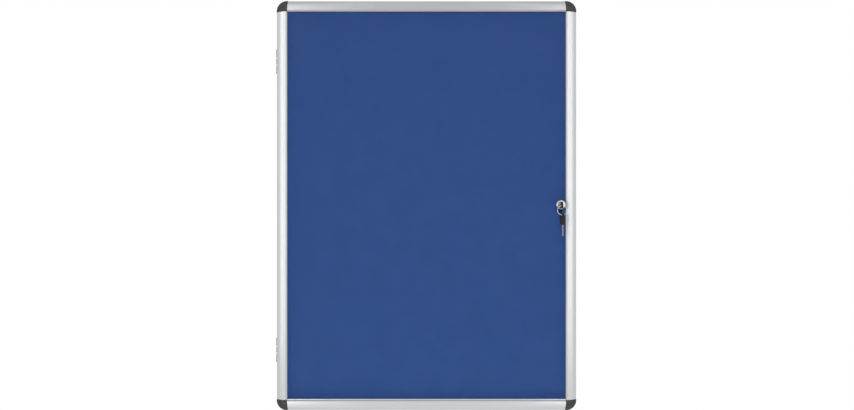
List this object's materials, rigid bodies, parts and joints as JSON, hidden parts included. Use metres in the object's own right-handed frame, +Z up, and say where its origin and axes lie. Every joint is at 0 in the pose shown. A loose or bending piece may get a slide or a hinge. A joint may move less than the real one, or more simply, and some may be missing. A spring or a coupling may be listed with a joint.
{
  "type": "notice board display case",
  "caption": "Shallow lockable wall case for notices: aluminium frame with rounded plastic corners, hinged clear door with cam lock and keys, felt pin board inside.",
  "frame": {"origin": "centre of the back, in the wall plane, which is also the centre of the wall screw holes", "axes": "+Z up, +X right as seen from the front, +Y into the wall; the door faces -Y"},
  "size_m": [0.7233, 0.0732, 0.9852],
  "materials": {
    "anodised_aluminium": "satin silver anodised extrusion",
    "charcoal_plastic": "fine-grained charcoal moulding",
    "blue_felt": "short-pile needle felt",
    "fibre_board": "soft fibre board",
    "galvanised_sheet": "galvanised",
    "clear_acrylic": "clear polished sheet",
    "black_rubber": "matt extruded rubber",
    "zinc_steel": "zinc plated",
    "dark_hinge_metal": "dark grey coated",
    "pale_nylon": "natural nylon",
    "lock_chrome": "bright chrome plate",
    "key_metal": "nickel silver",
    "key_plastic": "moulded black",
    "ring_steel": "nickel plated spring steel"
  },
  "bodies": {
    "case": {"back_sheet": "galvanised_sheet", "pin_board": "fibre_board", "felt_facing": "blue_felt", "case_rail_left": "anodised_aluminium", "case_rail_right": "anodised_aluminium", "case_rail_top": "anodised_aluminium", "case_rail_bottom": "anodised_aluminium", "case_corner_top_left": "charcoal_plastic", "case_corner_top_right": "charcoal_plastic", "case_corner_bottom_left": "charcoal_plastic", "case_corner_bottom_right": "charcoal_plastic", "case_corner_screws": "zinc_steel", "hinge_case_screws": "zinc_steel", "lock_strike": "zinc_steel", "strike_screws": "zinc_steel", "dust_seal": "black_rubber", "hinge_case_leaf_upper": "dark_hinge_metal", "hinge_case_leaf_lower": "dark_hinge_metal", "hinge_pin_upper": "dark_hinge_metal", "hinge_pin_lower": "dark_hinge_metal", "hinge_washers": "pale_nylon"},
    "door": {"door_rail_left": "anodised_aluminium", "door_rail_right": "anodised_aluminium", "door_rail_top": "anodised_aluminium", "door_rail_bottom": "anodised_aluminium", "door_cap_top_left": "charcoal_plastic", "door_cap_top_right": "charcoal_plastic", "door_cap_bottom_left": "charcoal_plastic", "door_cap_bottom_right": "charcoal_plastic", "door_cap_screws": "zinc_steel", "hinge_door_screws": "zinc_steel", "lock_nut": "zinc_steel", "pane": "clear_acrylic", "glazing_gasket": "black_rubber", "lock_washer": "black_rubber", "hinge_door_leaf_upper": "dark_hinge_metal", "hinge_door_leaf_lower": "dark_hinge_metal", "lock_housing": "lock_chrome"},
    "lock_plug": {"lock_plug": "lock_chrome", "lock_cam": "dark_hinge_metal", "cam_screw": "zinc_steel"},
    "key": {"key_blade": "key_metal", "key_head": "key_plastic"},
    "key_ring": {"key_ring": "ring_steel"},
    "spare_key": {"spare_key_blade": "key_metal", "spare_key_head": "key_plastic"}
  },
  "joints": [
    {"name": "door_swing", "type": "hinge", "parent": "case", "child": "door", "pos_m": [-0.3603, -0.0175, 0], "axis": [0, 0, -1], "range_deg": [0, 165]},
    {"name": "lock_turn", "type": "hinge", "parent": "door", "child": "lock_plug", "pos_m": [0.3229, -0.0387, 0.002], "axis": [0, -1, 0], "range_deg": [0, 90]},
    {"name": "key_pull", "type": "slide", "parent": "lock_plug", "child": "key", "axis": [0, -1, 0], "range_m": [0, 0.03]},
    {"name": "ring_swing", "type": "hinge", "parent": "key", "child": "key_ring", "pos_m": [0.3229, -0.0655, 0], "axis": [-1, 0, 0], "range_deg": [-11, 90]},
    {"name": "spare_key_swing", "type": "hinge", "parent": "key_ring", "child": "spare_key", "pos_m": [0.3229, -0.0655, -0.0222], "axis": [-1, 0, 0], "range_deg": [-15, 90]}
  ]
}
